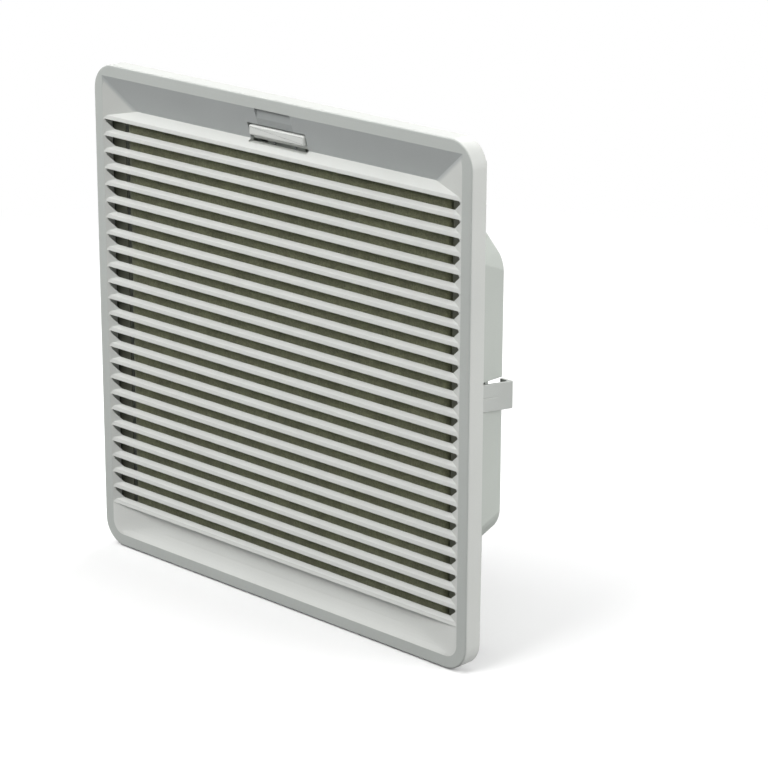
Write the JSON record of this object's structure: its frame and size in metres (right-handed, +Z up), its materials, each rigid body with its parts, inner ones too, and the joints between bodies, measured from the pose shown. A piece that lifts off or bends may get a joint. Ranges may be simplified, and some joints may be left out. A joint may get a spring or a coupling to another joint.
{
  "type": "enclosure filter fan",
  "caption": "Square louvred filter fan for an equipment enclosure, with a hinged front cover, filter mat, snap-in frame and rear axial fan.",
  "frame": {"origin": "centre of the mounting plane, where the flange gasket meets the enclosure wall", "axes": "+X to the right and +Z up seen from the front, +Y into the enclosure; the front faces -Y"},
  "size_m": [0.25, 0.0797, 0.25],
  "materials": {
    "cover_plastic": "fine matt grain",
    "frame_plastic": "matt",
    "latch_plastic": "satin",
    "clip_plastic": "satin",
    "filter_fleece": "random fibre",
    "foam": "closed cell foam",
    "zinc_steel": "zinc plated",
    "spring_steel": "bright wire",
    "fan_casting": "black paint",
    "blade_plastic": "matt",
    "rotor_steel": "drawn sheet",
    "rotor_aluminium": "cast",
    "core_steel": "laminated sheet",
    "coil_copper": "enamelled copper wire",
    "former_plastic": "matt",
    "cap_rubber": "matt",
    "block_plastic": "matt",
    "terminal_brass": "plated",
    "lead_brown": "insulation",
    "lead_blue": "insulation",
    "lead_green": "insulation"
  },
  "bodies": {
    "frame": {"filter_mat": "filter_fleece", "base_frame": "frame_plastic", "flange_gasket": "foam", "fan_housing": "fan_casting", "front_bearing": "zinc_steel", "rear_bearing": "zinc_steel", "preload_washer": "spring_steel", "stator_core": "core_steel", "coil_former": "former_plastic", "stator_coils": "coil_copper", "hub_plug": "cap_rubber", "finger_guard": "zinc_steel", "fan_screws": "zinc_steel", "fan_nuts": "zinc_steel", "terminal_block": "block_plastic", "terminal_screws": "terminal_brass", "block_screws": "zinc_steel", "live_lead": "lead_brown", "neutral_lead": "lead_blue", "earth_lead": "lead_green", "earth_lug": "zinc_steel", "earth_screw": "terminal_brass"},
    "cover": {"front_cover": "cover_plastic", "hinge_pins": "zinc_steel", "latch_retainer": "frame_plastic", "latch_screws": "zinc_steel", "latch_springs": "spring_steel"},
    "latch": {"latch_slider": "latch_plastic"},
    "rotor": {"impeller": "blade_plastic", "rotor_cup": "rotor_steel", "rotor_cage": "rotor_aluminium", "fan_shaft": "zinc_steel", "shaft_circlip": "spring_steel"},
    "clip_right": {"clip_right": "clip_plastic"},
    "clip_left": {"clip_left": "clip_plastic"}
  },
  "joints": [
    {"name": "cover_hinge", "type": "hinge", "parent": "frame", "child": "cover", "pos_m": [0, -0.005, -0.1205], "axis": [1, 0, 0], "range_deg": [0, 90]},
    {"name": "latch_slide", "type": "slide", "parent": "cover", "child": "latch", "axis": [0, 0, -1], "range_m": [0, 0.0026], "stiffness_N_per_m": 600, "springref_m": -0.002, "deforming": ["latch_springs"]},
    {"name": "fan_spin", "type": "hinge", "parent": "frame", "child": "rotor", "pos_m": [0, 0.046, 0], "axis": [0, 1, 0], "continuous": true},
    {"name": "clip_right_flex", "type": "hinge", "parent": "frame", "child": "clip_right", "pos_m": [0.1098, 0.0035, 0], "axis": [0, 0, 1], "range_deg": [0, 12.5], "stiffness_Nm_per_rad": 0.2, "springref_deg": -5.73},
    {"name": "clip_left_flex", "type": "hinge", "parent": "frame", "child": "clip_left", "pos_m": [-0.1098, 0.0035, 0], "axis": [0, 0, -1], "range_deg": [0, 12.5], "stiffness_Nm_per_rad": 0.2, "springref_deg": -5.73}
  ]
}
